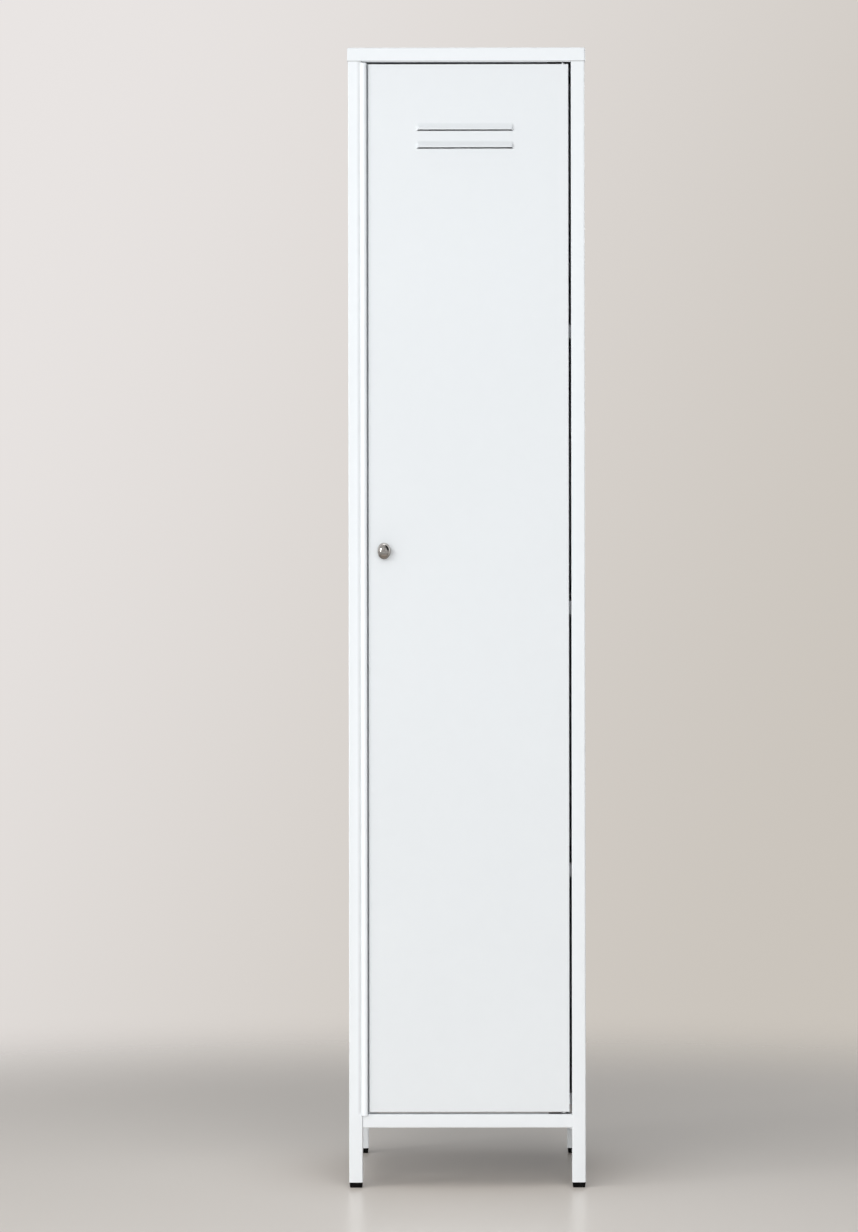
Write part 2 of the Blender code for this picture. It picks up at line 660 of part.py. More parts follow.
def make_hinges(finish, steel, door):
    """At each end of the door, an angle plate in its corner and the pivot pin that the plate holds."""
    radius = PIN_DIAMETER / 2
    head = PIN_HEAD_DIAMETER / 2
    inside = DOOR_SHEET + SEAT
    corner_x = DOOR_RIGHT - inside - HINGE_PLATE_SHEET / 2
    plate_y = PIVOT_Y - HINGE_PLATE_WIDTH / 2
    hole = radius + SEAT
    ends = (("top", 1, DOOR_HIGH, DOOR_GAP_TOP), ("bottom", -1, DOOR_LOW, DOOR_GAP_BOTTOM))
    for word, side, edge, gap in ends:
        plate_z = edge - side * (inside + HINGE_PLATE_SHEET / 2)
        path = ((-HINGE_PLATE_LENGTH, 0), (0, 0), (0, side * HINGE_PLATE_LEG))
        outline = folded_outline(path, HINGE_PLATE_SHEET, HINGE_PLATE_BEND)
        shape = extrude(outline, HINGE_PLATE_WIDTH)
        place = (corner_x, plate_y, plate_z)
        plate = piece(f"hinge_plate_{word}", shape, finish, place, door, turn=(-90, 0, 0))
        drill = turned([(hole, -2 * HINGE_PLATE_SHEET), (hole, 2 * HINGE_PLATE_SHEET)])
        cut(plate, drill, (PIVOT_X, PIVOT_Y, plate_z))
        under_plate = inside + HINGE_PLATE_SHEET + SEAT
        tip = gap + PIN_ENGAGEMENT
        profile = (
            (head, -under_plate - PIN_HEAD_HEIGHT),
            (head, -under_plate),
            (radius, -under_plate),
            (radius, tip - radius / 2),
            (radius / 2, tip),
        )
        place = (PIVOT_X, PIVOT_Y, edge)
        turn = (0 if side > 0 else 180, 0, 0)
        piece(f"hinge_pin_{word}", turned(profile), steel, place, door, turn=turn)


def nut(width, bore, height):
    """A hexagon nut with a round bore, from the origin up."""
    hexagon = []
    for x, y in circle(width / 2):
        off_flat = math.atan2(y, x) % (math.pi / 3) - math.pi / 6
        hexagon.append((x / math.cos(off_flat), y / math.cos(off_flat)))
    hole = circle(bore / 2)
    rings = [level(hexagon, 0), level(hexagon, height), level(hole, height), level(hole, 0)]
    return loft(rings, closed=True)


def make_latch_body(nickel, steel, door):
    """The latch's housing, whose flange is the knob's rosette, and the nut that clamps it to the sheet."""
    back = CAM_Y - DOOR_FACE_Y - SEAT
    flange = ROSETTE_DIAMETER / 2
    barrel = HOUSING_DIAMETER / 2
    bore = SPINDLE_DIAMETER / 2 + SEAT
    rim_centre = (flange - ROSETTE_RIM, ROSETTE_RIM - ROSETTE_HEIGHT)
    profile = (
        (bore, -ROSETTE_HEIGHT),
        *arc(rim_centre, ROSETTE_RIM, -90, 0, CORNER_STEPS),
        (flange, -SEAT),
        (barrel, -SEAT),
        (barrel, back),
        (bore, back),
    )
    place = (KNOB_X, DOOR_FACE_Y, KNOB_HEIGHT)
    piece("latch_housing", turned(profile, closed=True), nickel, place, door, turn=(-90, 0, 0))
    shape = nut(NUT_WIDTH, HOUSING_DIAMETER + 2 * SEAT, NUT_HEIGHT)
    place = (KNOB_X, DOOR_FACE_Y + DOOR_SHEET + SEAT, KNOB_HEIGHT)
    piece("latch_nut", shape, steel, place, door, turn=(-90, 0, 0))


def oval(width, tall):
    """A knob's section: a circle drawn out along the knob's height."""
    return [(x * width, y * tall) for x, y in circle(0.5)]


def make_knob(nickel, steel, knob):
    """The oval turn knob, its spindle through the door, and the cam and nut on the spindle's end."""
    place = (KNOB_X, DOOR_FACE_Y, KNOB_HEIGHT)
    back = -ROSETTE_HEIGHT - SEAT
    neck_end = back - KNOB_NECK_LENGTH
    socket = SPINDLE_DIAMETER + 2 * SEAT
    socket_end = back - SPINDLE_SOCKET
    stations = [
        (socket, socket, socket_end),
        (socket, socket, back),
        (KNOB_NECK_DIAMETER, KNOB_NECK_DIAMETER, back),
        (KNOB_NECK_DIAMETER, KNOB_NECK_DIAMETER, neck_end),
    ]
    head = KNOB_REACH + neck_end
    start = math.asin(KNOB_NECK_DIAMETER / KNOB_TALL)
    end = math.pi - math.asin(KNOB_TIP)
    for i in range(1, KNOB_STEPS + 1):
        angle = start + (end - start) * i / KNOB_STEPS
        along = (math.cos(start) - math.cos(angle)) / (math.cos(start) - math.cos(end))
        swell = math.sin(angle) ** KNOB_FULLNESS
        stations.append((KNOB_WIDTH * swell, KNOB_TALL * swell, neck_end - head * along))
    rings = [level(oval(width, tall), -y) for width, tall, y in stations]
    piece("knob", loft(rings), nickel, place, knob, turn=(90, 0, 0))

    cam_front = CAM_Y - DOOR_FACE_Y
    cam_back = cam_front + CAM_SHEET
    tail = SPINDLE_TAIL_DIAMETER / 2
    profile = (
        (SPINDLE_DIAMETER / 2, socket_end + SEAT),
        (SPINDLE_DIAMETER / 2, cam_front - SEAT),
        (tail, cam_front - SEAT),
        (tail, cam_back + 2 * SEAT + CAM_NUT_HEIGHT),
    )
    piece("knob_spindle", turned(profile), steel, place, knob, turn=(-90, 0, 0))

    half = CAM_WIDTH / 2
    reach = CAM_LENGTH - half
    steps = CIRCLE_STEPS // 2
    outline = arc((0, 0), half, 180, 360, steps) + arc((0, reach), half, 0, 180, steps)
    cam_place = (KNOB_X, CAM_Y, KNOB_HEIGHT)
    cam = piece("latch_cam", extrude(outline, CAM_SHEET), steel, cam_place, knob, turn=(-90, 0, 0))
    drill = turned([(tail + SEAT, -CAM_SHEET), (tail + SEAT, 2 * CAM_SHEET)])
    lie_back = Matrix.Rotation(math.radians(-90), 3, "X")
    bmesh.ops.rotate(drill, cent=(0, 0, 0), matrix=lie_back, verts=drill.verts)
    cut(cam, drill, cam_place)

    shape = nut(CAM_NUT_WIDTH, SPINDLE_TAIL_DIAMETER + 2 * SEAT, CAM_NUT_HEIGHT)
    place = (KNOB_X, DOOR_FACE_Y + cam_back + SEAT, KNOB_HEIGHT)
    piece("cam_nut", shape, steel, place, knob, turn=(-90, 0, 0))


def main():
    """Builds the locker from the frame outwards."""
    for old in list(bpy.data.objects):
        bpy.data.objects.remove(old)
    white = material("white_powder_coat", (0.86, 0.88, 0.90), 0.38, 0.0)
    zinc = material("zinc_plated_steel", (0.62, 0.63, 0.65), 0.35, 1.0)
    nickel = material("polished_nickel", (0.66, 0.62, 0.58), 0.12, 1.0)
    black = material("black_plastic", (0.015, 0.015, 0.016), 0.5, 0.0)
    rubber = material("grey_rubber", (0.30, 0.30, 0.31), 0.8, 0.0)

    cabinet = pivot("cabinet", (0, 0, 0))
    door = pivot("door_pivot", (PIVOT_X, PIVOT_Y, 0), cabinet)
    knob = pivot("knob_axis", (KNOB_X, DOOR_FACE_Y, KNOB_HEIGHT), door)

    make_posts(white, cabinet)
    make_feet(black, cabinet)
    make_rails(white, cabinet)
    make_cap(white, cabinet)
    make_panels(white, cabinet)
    make_floor(white, cabinet)
    make_shelves(white, cabinet)
    make_strip(white, rubber, cabinet)
    make_bushes(black, zinc, cabinet)
    make_door(white, door)
    make_stiffener(white, door)
    make_hinges(white, zinc, door)
    make_latch_body(nickel, zinc, door)
    make_knob(nickel, zinc, knob)
    for made in bpy.data.objects:
        if made.type == "MESH" and not made.hide_render:
            flat_faces = made.modifiers.new("flat_faces", "WEIGHTED_NORMAL")
            flat_faces.keep_sharp = True


main()
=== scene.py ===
"""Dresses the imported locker: finishes, fine fittings, welds, screws, stage, light and camera.

Metres, +Z up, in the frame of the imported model. The front faces -Y.
"""

import math

import bmesh
import bpy
from mathutils import Matrix, Vector


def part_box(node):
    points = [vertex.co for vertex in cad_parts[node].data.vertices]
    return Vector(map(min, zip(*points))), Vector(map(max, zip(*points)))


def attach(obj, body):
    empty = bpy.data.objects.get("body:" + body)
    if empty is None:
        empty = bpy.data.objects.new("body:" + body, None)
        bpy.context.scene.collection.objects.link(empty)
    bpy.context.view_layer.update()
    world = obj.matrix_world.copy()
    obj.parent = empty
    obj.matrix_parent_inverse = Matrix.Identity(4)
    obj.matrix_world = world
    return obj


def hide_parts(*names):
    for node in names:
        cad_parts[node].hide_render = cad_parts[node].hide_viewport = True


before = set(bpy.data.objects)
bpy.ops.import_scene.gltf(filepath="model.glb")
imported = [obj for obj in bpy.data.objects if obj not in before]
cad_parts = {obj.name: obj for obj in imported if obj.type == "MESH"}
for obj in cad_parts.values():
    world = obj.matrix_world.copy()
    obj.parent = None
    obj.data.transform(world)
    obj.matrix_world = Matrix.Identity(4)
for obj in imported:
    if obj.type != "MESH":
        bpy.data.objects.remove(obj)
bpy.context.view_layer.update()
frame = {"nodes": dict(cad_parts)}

# The photograph's frame and lens, in its pixels, and where the camera stands before the posts' front
PHOTO_SIZE = (858, 1232)
FOCAL_PIXELS = 5022.0
AXIS_PIXEL = (477.0, 500.0)
CAMERA_DISTANCE = 8.062
CAMERA_HEIGHT = 1.104
CAMERA_X = 0.0165
CAMERA_ROLL = math.radians(0.075)
CAMERA_SIGHT = 200.0
SENSOR = 36.0

# Edges that bend by more than this stay sharp
SHARP_ANGLE = math.radians(35)
MERGE_DISTANCE = 1e-5

# Steps round a fine turned piece and along a quarter turn, and rings in each turn of a thread
FINE_STEPS = 72
QUARTER_STEPS = 6
THREAD_RINGS = 6

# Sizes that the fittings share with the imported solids
SEAT = 0.0003
KNOB_NECK_DIAMETER = 0.0095
KNOB_NECK_LENGTH = 0.0042
KNOB_TIP = 0.15
KNOB_FULLNESS = 0.9
KNOB_STATIONS = 40
SPINDLE_DIAMETER = 0.006
SPINDLE_SOCKET = 0.008
SPINDLE_TAIL_DIAMETER = 0.005
ROSETTE_HEIGHT = 0.003
ROSETTE_RIM = 0.001
HOUSING_DIAMETER = 0.012
NUT_WIDTH = 0.017
CAM_NUT_WIDTH = 0.009
TUBE_CORNER = 0.002
PANEL_SHEET = 0.0008
STIFFENER_SHEET = 0.0009
STIFFENER_FOOT = 0.014
HINGE_PLATE_SHEET = 0.002
PIN_NODES = ("hinge_pin_top", "hinge_pin_bottom", "hinge_washer")
REAR_POSTS = ("post_rear_left", "post_rear_right")

# Threads and nuts
THREAD_PITCH = 0.001
THREAD_DEPTH = 0.0004
NUT_FACE = 0.95
NUT_CHAMFER = math.radians(30)
NUT_LEVELS = 4
BORE_CHAMFER = 0.0005

# Pan-head screws with a cross recess
SCREW_HEAD = 0.0072
SCREW_RISE = 0.0022
SCREW_STEPS = 40
CROSS_ARM = 0.0019
CROSS_HALF = 0.00045
CROSS_DEPTH = 0.0013
CROSS_TAPER = 0.55
BACK_SCREW_COUNT = 5
BACK_SCREW_END = 0.080

# Rivets and spot welds
RIVET_HEAD = 0.0064
RIVET_RISE = 0.0014
RIVET_STEPS = 6
RIVET_PLACES = (0.4, 0.8)
SPOT_DIAMETER = 0.006
SPOT_RISE = 0.00025
SPOT_RADII = (1.0, 0.92, 0.8, 0.66, 0.5)
SPOT_PITCH = 0.120
SINK = 0.0001

# Weld beads under the frame, and the welds ground flush in its outer seams
BEAD_RADIUS = 0.0022
BEAD_RIPPLE = 0.14
BEAD_PITCH = 0.0015
BEAD_RINGS = 5
BEAD_STEPS = 20
GROUND_RECESS = 0.00005
GROUND_DEPTH = 0.002
GROUND_REACH = 0.0009
OPEN_SEAM = ("front", "left")

# Paint, bluish white as in the photograph, and how much darker it reads on the door and inside
WHITE = (0.850, 0.885, 0.912)
# Painted shade: the door, the latch strip and the inside pieces get darker copies of the same white paint
DOOR_PAINTED_SHADE_SHARE = 0.94
INSIDE_PAINTED_SHADE_SHARE = 0.90
INSIDE_NODES = ("shelf", "floor_pan", "back_panel", "door_stiffener")

# The paint's drifts and flecks of tone, its gloss, and the depth of its orange peel and grain
DRIFT_TONE = 0.985
FLECK_TONE = 0.82
FLECK_SHARE = 0.05
PAINT_ROUGHNESS = (0.34, 0.44)
PAINT_IOR = 1.5
PEEL_DEPTH = 0.00005
GRAIN_DEPTH = 0.00001

# Dust: its tone, the range of its cover, and the slopes between which it comes to lie
DUST = (0.60, 0.57, 0.53)
DUST_COVER = (0.02, 0.12)
DUST_SLOPE = (0.8, 1.0)

# Painted shade in creases and seams, where shade falls: its tone, the least part of its share, and how
# far it reaches out of each seam
SEAM_PAINTED_SHADE_TONE = (0.16, 0.15, 0.14)
PAINTED_SHADE_LEAST = 0.8
# Painted shade in the crease on the latch post beside the strip
STRIP_PAINTED_SHADE = 0.28
STRIP_PAINTED_SHADE_REACH = 0.0055
STRIP_PAINTED_SHADE_EDGE = 0.0015
# Painted shadow on the posts just under the cap's lower edge
CAP_PAINTED_SHADOW = 0.75
CAP_PAINTED_SHADOW_REACH = 0.0010
CAP_PAINTED_SHADOW_EDGE = 0.0003
# Painted shade along the cap's own lower edge
LIP_PAINTED_SHADE = 0.35
LIP_PAINTED_SHADE_REACH = 0.0011
LIP_PAINTED_SHADE_EDGE = 0.0004
# Painted shade in the upright folds at the cap's four corners
CORNER_PAINTED_SHADE = 0.75
CORNER_PAINTED_SHADE_REACH = 0.0011
CORNER_PAINTED_SHADE_EDGE = 0.0005

# Nickel, from dull to bright, with its stains, a painted floor reflection below, painted shade on its
# flanks, and the tint of its grazing reflections
NICKEL_DULL = (0.74, 0.70, 0.66)
NICKEL_BRIGHT = (0.92, 0.89, 0.85)
NICKEL_PAINTED_FLOOR_REFLECTION = (0.17, 0.14, 0.115)
NICKEL_PAINTED_FLANK_SHADE = (0.15, 0.125, 0.105)
NICKEL_STAIN = (0.20, 0.165, 0.14)
NICKEL_TINT = (0.35, 0.32, 0.30, 1.0)
NICKEL_ROUGHNESS = (0.10, 0.22)
NICKEL_DENT_DEPTH = 0.00012
NICKEL_LINE_DEPTH = 0.000012
NICKEL_LINE_STRETCH = (1.0, 0.12, 1.0)

# Zinc plate
ZINC_DULL = (0.52, 0.53, 0.55)
ZINC_BRIGHT = (0.66, 0.68, 0.71)
ZINC_ROUGHNESS = (0.26, 0.42)
ZINC_CRYSTAL_DEPTH = 0.00001

# Black plastic and grey rubber
PLASTIC_BLACK = (0.003, 0.003, 0.003)
PLASTIC_SCUFF = (0.008, 0.008, 0.008)
PLASTIC_ROUGHNESS = (0.45, 0.65)
PLASTIC_GRAIN_DEPTH = 0.00004
PLASTIC_SHINE = 0.06
RUBBER_DARK = (0.20, 0.20, 0.21)
RUBBER_BLOOM = (0.34, 0.34, 0.35)
RUBBER_ROUGHNESS = (0.68, 0.90)
RUBBER_GRAIN_DEPTH = 0.00003

# Floor: its tones, a painted shadow that darkens it close to the feet, and the distances at which it
# gives way to the backdrop
FLOOR_DARK = (0.600, 0.560, 0.516)
FLOOR_PALE = (0.664, 0.623, 0.580)
FLOOR_PAINTED_SHADOW = (0.480, 0.425, 0.375)
FLOOR_PAINTED_SHADOW_SHARE = 0.8
FLOOR_PAINTED_SHADOW_REACH = (0.20, 0.50)
FLOOR_ROUGHNESS = (0.26, 0.32)
FLOOR_SHINE = 0.35
FLOOR_RADIUS = 5.0
FLOOR_FADE = (0.85, 2.7)

# Backdrop, from its upper left to its lower right as the camera sees it, darker to the right with painted
# shade, and the light from all round
BACKDROP_LEFT = (0.818, 0.785, 0.772)
BACKDROP_RIGHT = (0.588, 0.548, 0.498)
BACKDROP_SLOPE = 0.5
BACKDROP_REACH = (-0.15, 0.13)
SKY_TONES = (0.36, 0.42, 0.44, 0.42, 0.36)
DARK_PATCH = (0.80, -0.15, 0.56)
DARK_PATCH_EDGE = (0.76, 0.86)
DARK_PATCH_SHARE = 0.02

# Lights, in metres and watts, those that no polished piece mirrors, and those that miss the floor
MIDDLE = (0.0, 0.0, 0.95)
LIGHTS = {
    "key": dict(place=(-5.5, -3.6, 2.2), target=MIDDLE, size=(1.5, 3.0), power=92.0),
    "front": dict(place=(-0.8, -5.5, 2.1), target=MIDDLE, size=(5.0, 2.4), power=182.0),
    "overhead": dict(place=(0.0, 0.9, 4.3), target=(0.0, 0.1, 0.0), size=(3.2, 3.2), power=40.0),
    "fill_left": dict(place=(-4.5, 3.2, 2.0), target=MIDDLE, size=(2.5, 2.5), power=75.0),
    "fill_right": dict(place=(4.5, 3.2, 2.0), target=MIDDLE, size=(2.5, 2.5), power=160.0),
    "floor_light": dict(place=(-0.6, -2.4, 4.5), target=(-0.6, -2.4, 0.0), size=(4.5, 4.5), power=135.0),
    "pin_light": dict(place=(0.0, -3.0, 1.2), target=MIDDLE, size=(1.2, 1.6), power=40.0),
    "strip_light": dict(place=(0.0, -6.5, 1.1), target=MIDDLE, size=(0.3, 1.6), power=85.0),
    "leg_light": dict(place=(0.0, -6.3, 0.2), target=(0.0, 0.0, 0.05), size=(0.6, 0.2), power=75.0),
}
UNMIRRORED_LIGHTS = ("front", "strip_light", "leg_light")
OFF_FLOOR_LIGHTS = ("overhead", "fill_left", "fill_right")

# Headings, and the turns that point an upright shape to each side
UP = (0.0, 0.0, 1.0)
DOWN = (0.0, 0.0, -1.0)
FORWARD = (0.0, -1.0, 0.0)
TO_FRONT = Matrix.Rotation(math.radians(90), 4, "X")
TO_BACK = Matrix.Rotation(math.radians(-90), 4, "X")
TO_LEFT = Matrix.Rotation(math.radians(-90), 4, "Y")
TO_RIGHT = Matrix.Rotation(math.radians(90), 4, "Y")


# Shader building


class Graph:
    """The shader nodes of a material or a world, and the steps that both are built from."""

    def __init__(self, owner, place):
        owner.use_nodes = True
        self.nodes = owner.node_tree.nodes
        self.links = owner.node_tree.links
        self.coordinates = self.nodes.new("ShaderNodeTexCoord").outputs
        self.place = self.coordinates[place]

    def put(self, value, socket):
        """Joins an output to a socket, or sets a constant on it."""
        if isinstance(value, bpy.types.NodeSocket):
            self.links.new(value, socket)
        else:
            socket.default_value = value

    def part(self, axis):
        """A place's measure along one axis."""
        node = self.nodes.new("ShaderNodeSeparateXYZ")
        self.put(self.place, node.inputs["Vector"])
        return node.outputs[axis]

    def toward(self, direction, heading):
        """How far a direction goes along a heading: one along it, nought across it."""
        node = self.nodes.new("ShaderNodeVectorMath")
        node.operation = "DOT_PRODUCT"
        self.put(direction, node.inputs[0])
        self.put(heading, node.inputs[1])
        return node.outputs["Value"]

    def reckon(self, operation, first, second):
        """A value worked out from two."""
        node = self.nodes.new("ShaderNodeMath")
        node.operation = operation
        self.put(first, node.inputs[0])
        self.put(second, node.inputs[1])
        return node.outputs["Value"]

    def product(self, first, second):
        """Two values multiplied."""
        return self.reckon("MULTIPLY", first, second)

    def spread(self, value, low, high, start=0.3, end=0.7, curve="LINEAR"):
        """A value stretched to a range."""
        node = self.nodes.new("ShaderNodeMapRange")
        node.interpolation_type = curve
        node.inputs["From Min"].default_value = start
        node.inputs["From Max"].default_value = end
        node.inputs["To Min"].default_value = low
        node.inputs["To Max"].default_value = high
        self.put(value, node.inputs["Value"])
        return node.outputs["Result"]

    def tones(self, value, *stops):
        """Colours along a value: (position, colour) stops."""
        node = self.nodes.new("ShaderNodeValToRGB")
        ramp = node.color_ramp.elements
        while len(ramp) < len(stops):
            ramp.new(0.5)
        for element, (position, colour) in zip(ramp, stops):
            element.position = position
            element.color = (*colour, 1.0)
        self.put(value, node.inputs["Fac"])
        return node.outputs["Color"]

    def blend(self, share, first, second, mode="MIX"):
        """Two colours mixed or multiplied by a value."""
        node = self.nodes.new("ShaderNodeMix")
        node.data_type = "RGBA"
        node.blend_type = mode
        self.put(share, node.inputs["Factor"])
        sockets = [socket for socket in node.inputs if socket.type == "RGBA"]
        for socket, colour in zip(sockets, (first, second)):
            self.put((*colour, 1.0) if isinstance(colour, tuple) else colour, socket)
        return next(socket for socket in node.outputs if socket.type == "RGBA")

    def send(self, share, first, second, output):
        """Sends a mix of two shaders to the named output node."""
        mix = self.nodes.new("ShaderNodeMixShader")
        for value, socket in zip((share, first, second), mix.inputs):
            self.put(value, socket)
        self.put(mix.outputs["Shader"], self.nodes[output].inputs["Surface"])


class Shade(Graph):
    """One procedural material, built node by node on the object's own coordinates in metres."""

    def __init__(self, name):
        self.material = bpy.data.materials.new(name)
        super().__init__(self.material, "Object")
        self.shader = self.nodes["Principled BSDF"]

    def constants(self, **values):
        """Values that are the same all over, set on the shader's own sockets."""
        for name, value in values.items():
            self.shader.inputs[name.replace("_", " ")].default_value = value

    def link(self, output, name):
        """Joins an output to one of the shader's sockets."""
        self.links.new(output, self.shader.inputs[name])

    def stretch(self, scale):
        """The coordinates drawn out along an axis."""
        node = self.nodes.new("ShaderNodeMapping")
        node.inputs["Scale"].default_value = scale
        self.put(self.place, node.inputs["Vector"])
        return node.outputs["Vector"]

    def noise(self, scale, detail=2.0, roughness=0.5, place=None):
        """Cloudy variation, scale in cells a metre."""
        node = self.nodes.new("ShaderNodeTexNoise")
        node.inputs["Scale"].default_value = scale
        node.inputs["Detail"].default_value = detail
        node.inputs["Roughness"].default_value = roughness
        self.put(place or self.place, node.inputs["Vector"])
        return node.outputs["Fac"]

    def grains(self, scale):
        """A tone for each grain, scale in grains a metre."""
        node = self.nodes.new("ShaderNodeTexVoronoi")
        node.inputs["Scale"].default_value = scale
        self.put(self.place, node.inputs["Vector"])
        return node.outputs["Color"]

    def along(self, axis, low, high):
        """Nought up to one place on an axis of the piece, one from another place on."""
        return self.spread(self.part(axis), 0.0, 1.0, low, high)

    def facing(self, heading):
        """One where the surface looks along a heading of the piece, nought where it stands across."""
        return self.toward(self.coordinates["Normal"], heading)

    def distance(self):
        """How far a point is from the origin."""
        node = self.nodes.new("ShaderNodeVectorMath")
        node.operation = "LENGTH"
        self.put(self.place, node.inputs[0])
        return node.outputs["Value"]

    def fade_out(self, start, end):
        """Lets the surface vanish between two distances from the origin."""
        share = self.spread(self.distance(), 0.0, 1.0, start, end, "SMOOTHERSTEP")
        clear = self.nodes.new("ShaderNodeBsdfTransparent").outputs["BSDF"]
        self.send(share, self.shader.outputs["BSDF"], clear, "Material Output")

    def bump(self, height, distance, strength=1.0, under=None):
        """A surface relief, distance in metres."""
        node = self.nodes.new("ShaderNodeBump")
        node.inputs["Distance"].default_value = distance
        node.inputs["Strength"].default_value = strength
        self.put(height, node.inputs["Height"])
        if under is not None:
            self.put(under, node.inputs["Normal"])
        return node.outputs["Normal"]


def scaled(colour, share):
    """A colour made lighter or darker."""
    return tuple(channel * share for channel in colour)


def powder_coat(name, colour, painted_shades=()):
    """Satin powder coat: fine orange peel, soft drifts of tone and gloss, and dust on what faces up.

    Each painted shade, standing in for shade in a crease or seam, is a share of darkening and the (axis,
    low, high) runs between which it sets in.
    """
    shade = Shade(name)
    drift = shade.noise(scale=2.3, detail=3.0)
    tone = shade.tones(drift, (0.35, scaled(colour, DRIFT_TONE)), (0.65, colour))
    cloud = shade.noise(scale=38.0, detail=4.0, roughness=0.6)
    fleck = shade.spread(cloud, 0.0, FLECK_SHARE)
    tone = shade.blend(fleck, tone, scaled(colour, FLECK_TONE))
    lying = shade.spread(shade.facing(UP), 0.0, 1.0, *DUST_SLOPE)
    cover = shade.spread(shade.noise(scale=14.0, detail=5.0, roughness=0.65), *DUST_COVER)
    tone = shade.blend(shade.product(lying, cover), tone, DUST)
    # Painted shade: each entry darkens the paint along a crease or seam where shade falls
    for share, runs in painted_shades:
        painted_shade_share = shade.spread(shade.noise(scale=60.0, detail=3.0), PAINTED_SHADE_LEAST * share, share)
        for run in runs:
            painted_shade_share = shade.product(painted_shade_share, shade.along(*run))
        tone = shade.blend(painted_shade_share, tone, SEAM_PAINTED_SHADE_TONE)
    shade.link(tone, "Base Color")
    shade.link(shade.spread(shade.noise(scale=160.0, detail=3.0), *PAINT_ROUGHNESS), "Roughness")
    peel = shade.bump(shade.noise(scale=520.0), PEEL_DEPTH, strength=0.5)
    grain = shade.bump(shade.noise(scale=2600.0, detail=1.0), GRAIN_DEPTH, strength=0.4, under=peel)
    shade.link(grain, "Normal")
    shade.constants(IOR=PAINT_IOR)
    return shade.material


def nickel_plate(name):
    """Worn nickel, stained at random, with a painted brownish floor reflection on what faces down and
    painted shade on its flanks, so brighter in front.
    """
    shade = Shade(name)
    haze = shade.noise(scale=260.0, detail=4.0, roughness=0.6)
    tone = shade.tones(haze, (0.3, NICKEL_DULL), (0.7, NICKEL_BRIGHT))
    # Painted reflection: brownish floor reflection on what faces down
    below = shade.spread(shade.facing(DOWN), low=0.0, high=0.8, start=-0.1, end=0.45)
    tone = shade.blend(below, tone, NICKEL_PAINTED_FLOOR_REFLECTION)
    # Painted shade: darker where the surface turns away from the front
    flank = shade.spread(shade.facing(FORWARD), low=0.5, high=0.0, start=0.1, end=0.5)
    tone = shade.blend(flank, tone, NICKEL_PAINTED_FLANK_SHADE)
    blotch = shade.noise(scale=300.0, detail=3.0, roughness=0.55)
    stain = shade.spread(blotch, low=0.0, high=0.5, start=0.50, end=0.66)
    shade.link(shade.blend(stain, tone, NICKEL_STAIN), "Base Color")
    lines = shade.noise(scale=900.0, place=shade.stretch(NICKEL_LINE_STRETCH))
    dents = shade.bump(shade.noise(scale=240.0), NICKEL_DENT_DEPTH, strength=0.7)
    shade.link(shade.spread(haze, *NICKEL_ROUGHNESS), "Roughness")
    shade.link(shade.bump(lines, NICKEL_LINE_DEPTH, strength=0.35, under=dents), "Normal")
    shade.constants(Metallic=1.0, Specular_Tint=NICKEL_TINT)
    return shade.material


def zinc_plate(name):
    """Bright zinc plate: bluish grey with a fine crystal and duller patches."""
    shade = Shade(name)
    patch = shade.noise(scale=180.0, detail=3.0)
    shade.link(shade.tones(patch, (0.3, ZINC_DULL), (0.7, ZINC_BRIGHT)), "Base Color")
    shade.link(shade.spread(patch, *ZINC_ROUGHNESS), "Roughness")
    shade.link(shade.bump(shade.grains(scale=1500.0), ZINC_CRYSTAL_DEPTH, strength=0.3), "Normal")
    shade.constants(Metallic=1.0)
    return shade.material


def moulded_plastic(name):
    """Black moulded plastic: eroded grain, greyer where it is scuffed."""
    shade = Shade(name)
    scuff = shade.noise(scale=220.0, detail=4.0, roughness=0.65)
    shade.link(shade.tones(scuff, (0.35, PLASTIC_BLACK), (0.8, PLASTIC_SCUFF)), "Base Color")
    shade.link(shade.spread(scuff, *PLASTIC_ROUGHNESS), "Roughness")
    shade.link(shade.bump(shade.noise(scale=2200.0), PLASTIC_GRAIN_DEPTH, strength=0.6), "Normal")
    shade.constants(Specular_IOR_Level=PLASTIC_SHINE)
    return shade.material


def soft_rubber(name):
    """Grey rubber: matt, with a dusty bloom."""
    shade = Shade(name)
    bloom = shade.noise(scale=320.0, detail=4.0, roughness=0.6)
    shade.link(shade.tones(bloom, (0.3, RUBBER_DARK), (0.75, RUBBER_BLOOM)), "Base Color")
    shade.link(shade.spread(bloom, *RUBBER_ROUGHNESS), "Roughness")
    shade.link(shade.bump(shade.noise(scale=1800.0), RUBBER_GRAIN_DEPTH, strength=0.5), "Normal")
    return shade.material


def floor_surface(name):
    """A plain pale floor with a faint mottle and a painted shadow close to the feet, which gives way to
    the backdrop far from the feet.
    """
    shade = Shade(name)
    mottle = shade.noise(scale=0.9, detail=0.0)
    tone = shade.tones(mottle, (0.0, FLOOR_DARK), (1.0, FLOOR_PALE))
    # Painted shadow: the floor darkens towards the feet
    near = shade.spread(shade.distance(), FLOOR_PAINTED_SHADOW_SHARE, 0.0, *FLOOR_PAINTED_SHADOW_REACH)
    shade.link(shade.blend(shade.product(near, near), tone, FLOOR_PAINTED_SHADOW), "Base Color")
    shade.link(shade.spread(mottle, *FLOOR_ROUGHNESS, start=0.0, end=1.0), "Roughness")
    shade.constants(Specular_IOR_Level=FLOOR_SHINE)
    shade.fade_out(*FLOOR_FADE)
    return shade.material


# Mesh building


def circle(radius, steps=FINE_STEPS):
    """A round outline about the origin."""
    angles = [2 * math.pi * i / steps for i in range(steps)]
    return [(radius * math.cos(a), radius * math.sin(a)) for a in angles]


def level(outline, z):
    """An outline raised to a height."""
    return [Vector((x, y, z)) for x, y in outline]


